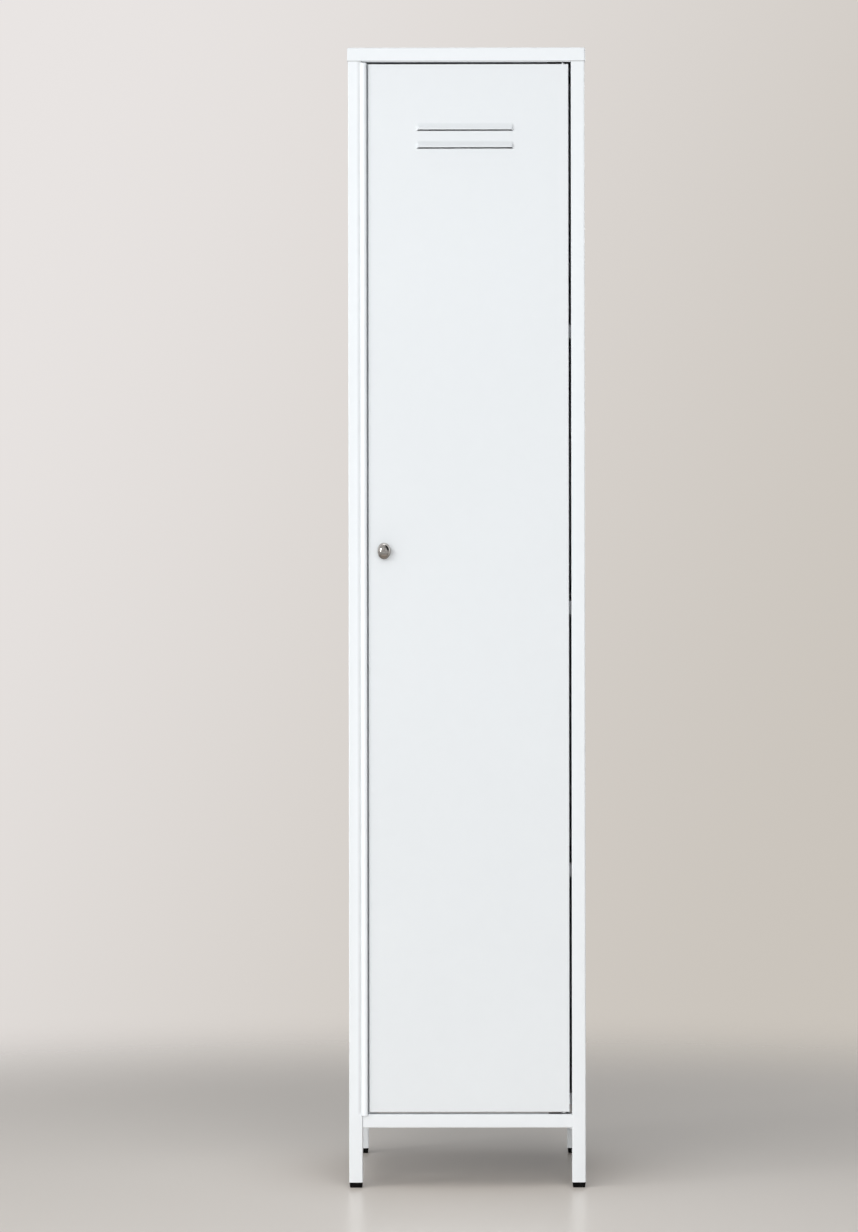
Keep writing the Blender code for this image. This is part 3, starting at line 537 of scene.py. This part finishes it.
def loft(rings, closed=False):
    """Joins rings of equally many points, and caps the ends unless the rings come back to the first."""
    shape = bmesh.new()
    rows = [[shape.verts.new(point) for point in ring] for ring in rings]
    pairs = list(zip(rows, rows[1:]))
    if closed:
        pairs.append((rows[-1], rows[0]))
    else:
        shape.faces.new(rows[0])
        shape.faces.new(rows[-1])
    for low, high in pairs:
        for i in range(len(low)):
            shape.faces.new((low[i - 1], low[i], high[i], high[i - 1]))
    bmesh.ops.recalc_face_normals(shape, faces=shape.faces)
    return shape


def turned(profile, steps=FINE_STEPS):
    """A round solid from (radius, height) points."""
    return loft([level(circle(radius, steps), z) for radius, z in profile])


def polar_ring(reach, z, steps=FINE_STEPS):
    """A ring whose distance from the axis is given for each angle."""
    angles = [2 * math.pi * i / steps for i in range(steps)]
    return [Vector((reach(a) * math.cos(a), reach(a) * math.sin(a), z)) for a in angles]


def quarter(centre, radius, start, steps=QUARTER_STEPS):
    """Points of a quarter turn, from an angle in degrees onwards."""
    angles = [math.radians(start + 90 * i / steps) for i in range(steps + 1)]
    return [(centre[0] + radius * math.cos(a), centre[1] + radius * math.sin(a)) for a in angles]


def thread_rings(radius, start, end):
    """Rings of a screw thread cut into a barrel, which runs out at both ends."""
    count = round(abs(end - start) / THREAD_PITCH * THREAD_RINGS)
    rings = []
    for i in range(count + 1):
        z = start + (end - start) * i / count
        depth = THREAD_DEPTH * min(1.0, min(i, count - i) / THREAD_RINGS)

        def reach(angle, z=z, depth=depth):
            turn = (z / THREAD_PITCH + angle / (2 * math.pi)) % 1.0
            return radius - depth * (1 - abs(2 * turn - 1))

        rings.append(polar_ring(reach, z))
    return rings


def nut_shape(width, bore, height):
    """A hexagon nut with chamfered corners and a countersunk bore, from the origin up."""
    face = NUT_FACE * width / 2
    slope = math.tan(NUT_CHAMFER)
    corner = width / 2 / math.cos(math.pi / 6)
    levels = [(corner - face) * slope * i / NUT_LEVELS for i in range(NUT_LEVELS + 1)]
    sides = [(z, z) for z in levels] + [(height - z, z) for z in reversed(levels)]
    rings = []
    for z, inset in sides:

        def reach(angle, inset=inset):
            off_flat = angle % (math.pi / 3) - math.pi / 6
            return min(width / 2 / math.cos(off_flat), face + inset / slope)

        rings.append(polar_ring(reach, z))
    hole = bore / 2
    wide = hole + BORE_CHAMFER
    low = BORE_CHAMFER
    high = height - BORE_CHAMFER
    for radius, z in ((wide, height), (hole, high), (hole, low), (wide, 0.0)):
        rings.append(level(circle(radius), z))
    return loft(rings, closed=True)


def cross_reach(angle):
    """Distance from the middle of a cross recess to its edge."""
    along = max(abs(math.cos(angle)), SINK)
    across = max(abs(math.sin(angle)), SINK)
    first = min(CROSS_ARM / along, CROSS_HALF / across)
    second = min(CROSS_HALF / along, CROSS_ARM / across)
    return max(first, second)


def screw_head():
    """A pan head with a cross recess, from the surface that it clamps upwards."""
    radius = SCREW_HEAD / 2
    rim = SCREW_RISE / 2
    profile = [(radius, -SINK), (radius, SCREW_RISE - rim)]
    profile += quarter((radius - rim, SCREW_RISE - rim), rim, 0)[1:]
    rings = [level(circle(r, SCREW_STEPS), z) for r, z in profile]
    rings.append(polar_ring(cross_reach, SCREW_RISE, SCREW_STEPS))
    floor = SCREW_RISE - CROSS_DEPTH
    rings.append(polar_ring(lambda angle: CROSS_TAPER * cross_reach(angle), floor, SCREW_STEPS))
    return loft(rings)


def rivet_head():
    """A low dome, from the surface that it clamps upwards."""
    radius = RIVET_HEAD / 2
    angles = [math.pi / 2 * i / RIVET_STEPS for i in range(RIVET_STEPS)]
    profile = [(radius, -SINK)]
    profile += [(radius * math.cos(a), RIVET_RISE * math.sin(a)) for a in angles]
    return turned(profile, SCREW_STEPS)


def spot_weld():
    """The shallow ring that a spot weld's electrode leaves, from the sheet upwards."""
    radius = SPOT_DIAMETER / 2
    heights = (-SINK, SPOT_RISE / 2, SPOT_RISE, SPOT_RISE / 2, SINK / 2)
    return turned([(radius * share, z) for share, z in zip(SPOT_RADII, heights)], SCREW_STEPS)


def weld_bead(length):
    """A rippled bead with round ends, along the axis from the origin up."""
    count = round(length / BEAD_PITCH * BEAD_RINGS)
    profile = []
    for i in range(1, count):
        z = length * i / count
        ripple = 1 - BEAD_RIPPLE * (z / BEAD_PITCH % 1.0)
        end = min(1.0, min(z, length - z) / BEAD_RADIUS)
        profile.append((BEAD_RADIUS * ripple * math.sqrt(1 - (1 - end) ** 2), z))
    return turned(profile, BEAD_STEPS)


def ground_weld(depth, length):
    """A weld that fills a seam and is ground flush: a slim bar along the axis, on the seam's line."""
    half = GROUND_REACH
    outline = [(-half, 0.0), (half, 0.0), (half / 2, depth), (-half / 2, depth)]
    return loft([level(outline, 0.0), level(outline, length)])


def gather(shapes):
    """One shape from several (shape, matrix) pairs."""
    whole = bmesh.new()
    for shape, matrix in shapes:
        mesh = bpy.data.meshes.new("copy")
        shape.to_mesh(mesh)
        shape.free()
        mesh.transform(matrix)
        whole.from_mesh(mesh)
        bpy.data.meshes.remove(mesh)
    return whole


def add_piece(name, shape, finish, body, replaced=()):
    """A new piece in the shared frame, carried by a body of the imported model."""
    mesh = bpy.data.meshes.new(name)
    shape.to_mesh(mesh)
    shape.free()
    mesh.shade_smooth()
    mesh.set_sharp_from_angle(angle=SHARP_ANGLE)
    mesh.materials.append(finish)
    made = bpy.data.objects.new(name, mesh)
    bpy.context.scene.collection.objects.link(made)
    made.modifiers.new("flat_faces", "WEIGHTED_NORMAL").keep_sharp = True
    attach(made, body)
    if replaced:
        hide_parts(*replaced)
    return made


def moved(shape, matrix):
    """A shape put in its place."""
    bmesh.ops.transform(shape, matrix=matrix, verts=shape.verts)
    return shape


def smooth_group():
    """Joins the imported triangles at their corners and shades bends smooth, leaving folds sharp."""
    group = bpy.data.node_groups.new("joined_faces", "GeometryNodeTree")
    group.interface.new_socket("Geometry", in_out="INPUT", socket_type="NodeSocketGeometry")
    group.interface.new_socket("Geometry", in_out="OUTPUT", socket_type="NodeSocketGeometry")
    nodes = group.nodes
    links = group.links
    start = nodes.new("NodeGroupInput")
    bare = nodes.new("GeometryNodeRemoveAttribute")
    bare.inputs["Name"].default_value = "custom_normal"
    merge = nodes.new("GeometryNodeMergeByDistance")
    merge.inputs["Distance"].default_value = MERGE_DISTANCE
    faces = nodes.new("GeometryNodeSetShadeSmooth")
    faces.domain = "FACE"
    faces.inputs["Shade Smooth"].default_value = True
    angle = nodes.new("GeometryNodeInputMeshEdgeAngle")
    flat = nodes.new("FunctionNodeCompare")
    flat.data_type = "FLOAT"
    flat.operation = "LESS_THAN"
    flat.inputs[1].default_value = SHARP_ANGLE
    edges = nodes.new("GeometryNodeSetShadeSmooth")
    edges.domain = "EDGE"
    end = nodes.new("NodeGroupOutput")
    links.new(start.outputs[0], bare.inputs["Geometry"])
    links.new(bare.outputs["Geometry"], merge.inputs["Geometry"])
    links.new(merge.outputs["Geometry"], faces.inputs["Geometry"])
    links.new(faces.outputs["Geometry"], edges.inputs["Geometry"])
    links.new(angle.outputs["Unsigned Angle"], flat.inputs[0])
    links.new(flat.outputs["Result"], edges.inputs["Shade Smooth"])
    links.new(edges.outputs["Geometry"], end.inputs[0])
    return group


def post_paint(name, strip=None):
    """Paint for a post, with painted shadow under the cap and, on the latch side, painted shade in the
    crease along the strip.
    """
    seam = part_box("top_cap")[0].z
    painted_shades = [(CAP_PAINTED_SHADOW, [("Z", seam - CAP_PAINTED_SHADOW_REACH, seam - CAP_PAINTED_SHADOW_EDGE)])]
    if strip:
        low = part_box(strip)[0]
        across = ("X", low.x - STRIP_PAINTED_SHADE_REACH, low.x - STRIP_PAINTED_SHADE_EDGE)
        painted_shades.append((STRIP_PAINTED_SHADE, [across, ("Z", low.z, low.z + STRIP_PAINTED_SHADE_REACH)]))
    return powder_coat(name, WHITE, painted_shades)


def cap_paint(name):
    """Paint for the cap, with painted shade along its lower edge and in the upright folds at its corners.
    """
    low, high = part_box("top_cap")
    painted_shades = [(LIP_PAINTED_SHADE, [("Z", low.z + LIP_PAINTED_SHADE_REACH, low.z + LIP_PAINTED_SHADE_EDGE)])]
    for x, side in ((low.x, 1), (high.x, -1)):
        for y, depth in ((low.y, 1), (high.y, -1)):
            across = ("X", x + side * CORNER_PAINTED_SHADE_REACH, x + side * CORNER_PAINTED_SHADE_EDGE)
            along = ("Y", y + depth * CORNER_PAINTED_SHADE_REACH, y + depth * CORNER_PAINTED_SHADE_EDGE)
            painted_shades.append((CORNER_PAINTED_SHADE, [across, along]))
    return powder_coat(name, WHITE, painted_shades)


def dress_nodes(finishes):
    """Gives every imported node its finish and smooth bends."""
    group = smooth_group()
    # Darker copies of the one white paint: painted shade on the inside pieces, and on the door and latch
    # strip
    inside = powder_coat("powder_coat_inside_painted_shade", scaled(WHITE, INSIDE_PAINTED_SHADE_SHARE))
    post = post_paint("powder_coat_post")
    door = powder_coat("powder_coat_door_painted_shade", scaled(WHITE, DOOR_PAINTED_SHADE_SHARE))
    own = {
        "door_panel": door,
        "latch_strip": door,
        "top_cap": cap_paint("powder_coat_cap"),
        "post_front_left": post_paint("powder_coat_latch_post", "latch_strip"),
        "post_front_right": post,
        "post_rear_left": post,
        "post_rear_right": post,
    }
    for name, node in frame["nodes"].items():
        finish = finishes[node.data.materials[0].name]
        if name.startswith(INSIDE_NODES):
            finish = inside
        node.data.materials[0] = own.get(name, finish)
        joined = node.modifiers.new("joined_faces", "NODES")
        joined.node_group = group
        node.modifiers.new("flat_faces", "WEIGHTED_NORMAL").keep_sharp = True


# Fittings


def knob_axis():
    """The middle of the knob's back, on the door's face."""
    low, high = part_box("knob")
    return Vector(((low.x + high.x) / 2, high.y + ROSETTE_HEIGHT + SEAT, (low.z + high.z) / 2))


def make_knob(finish):
    """The oval knob, finely turned, with a socket for its spindle."""
    low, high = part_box("knob")
    centre = knob_axis()
    reach = centre.y - low.y
    wide = high.x - low.x
    tall = high.z - low.z
    back = ROSETTE_HEIGHT + SEAT
    neck_end = back + KNOB_NECK_LENGTH
    socket = SPINDLE_DIAMETER + 2 * SEAT
    stations = [
        (socket, socket, back + SPINDLE_SOCKET),
        (socket, socket, back),
        (KNOB_NECK_DIAMETER, KNOB_NECK_DIAMETER, back),
        (KNOB_NECK_DIAMETER, KNOB_NECK_DIAMETER, neck_end),
    ]
    start = math.asin(KNOB_NECK_DIAMETER / tall)
    end = math.pi - math.asin(KNOB_TIP)
    for i in range(1, KNOB_STATIONS + 1):
        angle = start + (end - start) * i / KNOB_STATIONS
        along = (math.cos(start) - math.cos(angle)) / (math.cos(start) - math.cos(end))
        swell = math.sin(angle) ** KNOB_FULLNESS
        stations.append((wide * swell, tall * swell, neck_end + (reach - neck_end) * along))
    rings = []
    for width, height, out in stations:
        rings.append(level([(x * width, y * height) for x, y in circle(0.5)], out))
    shape = moved(loft(rings), Matrix.Translation(centre) @ TO_FRONT)
    return add_piece("knob_oval", shape, finish, "knob", ["knob"])


def make_latch_housing(finish):
    """The latch's housing: a rosette with a round rim on the door, and a threaded barrel behind it."""
    low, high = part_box("latch_housing")
    centre = knob_axis()
    back = centre.y - high.y
    flange = (high.x - low.x) / 2
    barrel = HOUSING_DIAMETER / 2
    bore = SPINDLE_DIAMETER / 2 + SEAT
    rim = quarter((flange - ROSETTE_RIM, ROSETTE_HEIGHT - ROSETTE_RIM), ROSETTE_RIM, 0)
    front = [(bore, back), (bore, ROSETTE_HEIGHT), *reversed(rim), (flange, SEAT), (barrel, SEAT)]
    rings = [level(circle(radius), z) for radius, z in front]
    rings += thread_rings(barrel, -SEAT, back)
    shape = moved(loft(rings, closed=True), Matrix.Translation(centre) @ TO_FRONT)
    add_piece("latch_housing_turned", shape, finish, "door", ["latch_housing"])


def make_nuts(finish):
    """The clamping nut of the latch and the nut that holds the cam, with chamfered corners."""
    nuts = (
        ("latch_nut", NUT_WIDTH, HOUSING_DIAMETER, "door"),
        ("cam_nut", CAM_NUT_WIDTH, SPINDLE_TAIL_DIAMETER, "knob"),
    )
    centre = knob_axis()
    for node, width, bore, body in nuts:
        low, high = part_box(node)
        shape = nut_shape(width, bore + 2 * SEAT, high.y - low.y)
        place = Matrix.Translation((centre.x, low.y, centre.z)) @ TO_BACK
        add_piece(node + "_hexagon", moved(shape, place), finish, body, [node])


def make_back_screws(finish):
    """Pan-head screws through the back panel's flanges, each stopped at its own turn."""
    low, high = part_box("back_panel")
    y = (low.y + high.y + PANEL_SHEET) / 2
    x = high.x - PANEL_SHEET
    step = (high.z - low.z - 2 * BACK_SCREW_END) / (BACK_SCREW_COUNT - 1)
    copies = []
    for i in range(BACK_SCREW_COUNT):
        z = low.z + BACK_SCREW_END + i * step
        for side, turn in ((-1, TO_RIGHT), (1, TO_LEFT)):
            spin = Matrix.Rotation(i + side, 4, "Z")
            copies.append((screw_head(), Matrix.Translation((side * x, y, z)) @ turn @ spin))
    add_piece("back_panel_screws", gather(copies), finish, "cabinet")


def make_hinge_rivets(finish):
    """Two rivets that hold each hinge plate to the door's edge."""
    copies = []
    for word, side in (("top", -1), ("bottom", 1)):
        low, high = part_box(f"hinge_plate_{word}")
        x = high.x - HINGE_PLATE_SHEET
        y = (low.y + high.y) / 2
        bend = high.z if side < 0 else low.z
        for share in RIVET_PLACES:
            z = bend + side * share * (high.z - low.z)
            copies.append((rivet_head(), Matrix.Translation((x, y, z)) @ TO_LEFT))
    add_piece("hinge_rivets", gather(copies), finish, "door")


def make_spot_welds(finish):
    """Spot welds along both feet of the door's stiffener."""
    low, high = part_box("door_stiffener")
    y = low.y + STIFFENER_SHEET
    count = int((high.z - low.z) / SPOT_PITCH)
    start = (low.z + high.z - count * SPOT_PITCH) / 2
    copies = []
    for x in (low.x + STIFFENER_FOOT / 2, high.x - STIFFENER_FOOT / 2):
        for i in range(count + 1):
            place = Matrix.Translation((x, y, start + i * SPOT_PITCH))
            copies.append((spot_weld(), place @ TO_BACK))
    add_piece("stiffener_spot_welds", gather(copies), finish, "door")


def corner_welds(post_low, post_high, cross_low, cross_high, side_low, side_high):
    """At one post: beads under both bottom rails and in the corner between them."""
    left = post_low.x < 0
    front = post_low.y < 0
    x = post_high.x if left else post_low.x
    y = post_high.y if front else post_low.y
    inner_y = cross_high.y if front else cross_low.y
    z = cross_low.z
    across = cross_high.y - cross_low.y - 2 * TUBE_CORNER
    along = side_high.x - side_low.x - 2 * TUBE_CORNER
    up = cross_high.z - z - 2 * TUBE_CORNER
    return [
        (weld_bead(across), Matrix.Translation((x, cross_low.y + TUBE_CORNER, z)) @ TO_BACK),
        (weld_bead(along), Matrix.Translation((side_low.x + TUBE_CORNER, y, z)) @ TO_RIGHT),
        (weld_bead(up), Matrix.Translation((x, inner_y, z + TUBE_CORNER))),
    ]


def seam_welds(post_low, post_high, cross_low, cross_high, side_low, side_high):
    """At one post: ground welds in the outer seams of both bottom rails."""
    left = post_low.x < 0
    front = post_low.y < 0
    z = cross_low.z + TUBE_CORNER
    up = cross_high.z - cross_low.z - 2 * TUBE_CORNER
    turn = Matrix.Rotation(0.0 if front else math.pi, 4, "Z")
    x = post_high.x if left else post_low.x
    y = cross_low.y + GROUND_RECESS if front else cross_high.y - GROUND_RECESS
    face = Matrix.Translation((x, y, z)) @ turn
    turn = Matrix.Rotation(math.radians(-90 if left else 90), 4, "Z")
    x = side_low.x + GROUND_RECESS if left else side_high.x - GROUND_RECESS
    y = post_high.y if front else post_low.y
    flank = Matrix.Translation((x, y, z)) @ turn
    return [(ground_weld(GROUND_DEPTH, up), face), (ground_weld(GROUND_DEPTH, up), flank)]


def make_frame_welds(finish):
    """The welds that join the bottom rails to the four posts, with one front seam left open."""
    beads = []
    seams = []
    for depth_word in ("front", "rear"):
        for side_word in ("left", "right"):
            nodes = (
                f"post_{depth_word}_{side_word}",
                f"bottom_rail_{depth_word}",
                f"bottom_rail_{side_word}",
            )
            corners = [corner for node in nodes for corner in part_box(node)]
            beads += corner_welds(*corners)
            face, flank = seam_welds(*corners)
            seams += [flank] if (depth_word, side_word) == OPEN_SEAM else [face, flank]
    add_piece("frame_weld_beads", gather(beads), finish, "cabinet")
    add_piece("frame_seam_welds", gather(seams), finish, "cabinet")


# Stage


def make_floor():
    """A wide round floor under the feet."""
    shape = bmesh.new()
    bmesh.ops.create_circle(shape, cap_ends=True, segments=FINE_STEPS, radius=FLOOR_RADIUS)
    mesh = bpy.data.meshes.new("floor")
    shape.to_mesh(mesh)
    shape.free()
    mesh.materials.append(floor_surface("floor_surface"))
    floor = bpy.data.objects.new("floor", mesh)
    bpy.context.scene.collection.objects.link(floor)
    return floor


def grey(tone):
    """A colour without a hue."""
    return (tone, tone, tone)


def make_world():
    """Soft light from all round with a darker patch at the upper right, and a backdrop behind with
    painted shade toward its lower right.
    """
    world = bpy.data.worlds.new("studio")
    bpy.context.scene.world = world
    graph = Graph(world, "Generated")

    def eased(value, start, end):
        """Nought to one between two limits, with soft ends."""
        return graph.spread(value, 0.0, 1.0, start, end, "SMOOTHSTEP")

    last = len(SKY_TONES) - 1
    sky_stops = [(i / last, grey(tone)) for i, tone in enumerate(SKY_TONES)]
    sky = graph.tones(eased(graph.part("Z"), -1.0, 1.0), *sky_stops)
    toward_patch = graph.toward(graph.place, Vector(DARK_PATCH).normalized())
    patch_stops = ((0.0, grey(1.0)), (1.0, grey(DARK_PATCH_SHARE)))
    patch = graph.tones(eased(toward_patch, *DARK_PATCH_EDGE), *patch_stops)
    ahead = graph.reckon("MAXIMUM", graph.part("Y"), 0.0)
    sloped = graph.product(graph.part("Z"), BACKDROP_SLOPE)
    across = graph.reckon("SUBTRACT", graph.product(graph.part("X"), ahead), sloped)
    # Painted shade: the backdrop darkens from its upper left to its lower right
    seen = graph.tones(eased(across, *BACKDROP_REACH), (0.0, BACKDROP_LEFT), (1.0, BACKDROP_RIGHT))

    light = graph.nodes["Background"]
    backdrop = graph.nodes.new("ShaderNodeBackground")
    graph.put(graph.blend(1.0, sky, patch, "MULTIPLY"), light.inputs["Color"])
    graph.put(seen, backdrop.inputs["Color"])
    camera_ray = graph.nodes.new("ShaderNodeLightPath").outputs["Is Camera Ray"]
    graph.send(camera_ray, light.outputs["Background"], backdrop.outputs["Background"], "World Output")


def add_light(name, place, target, size, power):
    """A soft rectangular light that looks at a point."""
    data = bpy.data.lights.new(name, "AREA")
    data.shape = "RECTANGLE"
    data.size, data.size_y = size
    data.energy = power
    light = bpy.data.objects.new(name, data)
    bpy.context.scene.collection.objects.link(light)
    light.location = place
    light.rotation_euler = (Vector(target) - Vector(place)).to_track_quat("-Z", "Y").to_euler()
    light.visible_camera = False
    return light


def link_light(light, objects, state, shadows=False):
    """Lets a light fall on some objects only or on all but these, or picks whose shadows it casts."""
    collection = bpy.data.collections.new(light.name + "_links")
    for target in objects:
        collection.objects.link(target)
    for row in collection.collection_objects:
        row.light_linking.link_state = state
    if shadows:
        light.light_linking.blocker_collection = collection
    else:
        light.light_linking.receiver_collection = collection


def make_lights(floor, knob):
    """A window-like key at the left, a front light, fills, and lights for the floor and single pieces."""
    nodes = frame["nodes"]
    lights = {name: add_light(name, **values) for name, values in LIGHTS.items()}
    for name in UNMIRRORED_LIGHTS:
        lights[name].visible_glossy = False
    link_light(lights["key"], [knob], "EXCLUDE", shadows=True)
    for name in OFF_FLOOR_LIGHTS:
        link_light(lights[name], [floor], "EXCLUDE")
    link_light(lights["floor_light"], [floor], "INCLUDE")
    link_light(lights["pin_light"], [nodes[name] for name in PIN_NODES], "INCLUDE")
    link_light(lights["strip_light"], [nodes["latch_strip"]], "INCLUDE")
    link_light(lights["leg_light"], [nodes[name] for name in REAR_POSTS], "INCLUDE")


def make_camera():
    """The photograph's viewing angle: level, in front, with the frame shifted off the lens axis."""
    data = bpy.data.cameras.new("camera")
    long_side = max(PHOTO_SIZE)
    data.sensor_fit = "AUTO"
    data.sensor_width = SENSOR
    data.lens = FOCAL_PIXELS / long_side * SENSOR
    data.shift_x = (PHOTO_SIZE[0] / 2 - AXIS_PIXEL[0]) / long_side
    data.shift_y = (AXIS_PIXEL[1] - PHOTO_SIZE[1] / 2) / long_side
    data.clip_end = CAMERA_SIGHT
    camera = bpy.data.objects.new("camera", data)
    bpy.context.scene.collection.objects.link(camera)
    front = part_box("post_front_left")[0].y
    camera.location = (CAMERA_X, front - CAMERA_DISTANCE, CAMERA_HEIGHT)
    camera.rotation_euler = (math.radians(90), CAMERA_ROLL, 0.0)
    bpy.context.scene.camera = camera


def main():
    """Builds the dressed locker and its stage."""
    bpy.context.scene.view_settings.view_transform = "Standard"
    make_camera()
    finishes = {
        "white_powder_coat": powder_coat("powder_coat", WHITE),
        "zinc_plated_steel": zinc_plate("zinc_plate"),
        "polished_nickel": nickel_plate("nickel_plate"),
        "black_plastic": moulded_plastic("moulded_plastic"),
        "grey_rubber": soft_rubber("soft_rubber"),
    }
    dress_nodes(finishes)
    knob = make_knob(finishes["polished_nickel"])
    make_latch_housing(finishes["polished_nickel"])
    make_nuts(finishes["zinc_plated_steel"])
    make_back_screws(finishes["zinc_plated_steel"])
    make_hinge_rivets(finishes["zinc_plated_steel"])
    make_spot_welds(finishes["white_powder_coat"])
    make_frame_welds(finishes["white_powder_coat"])
    make_world()
    make_lights(make_floor(), knob)


main()
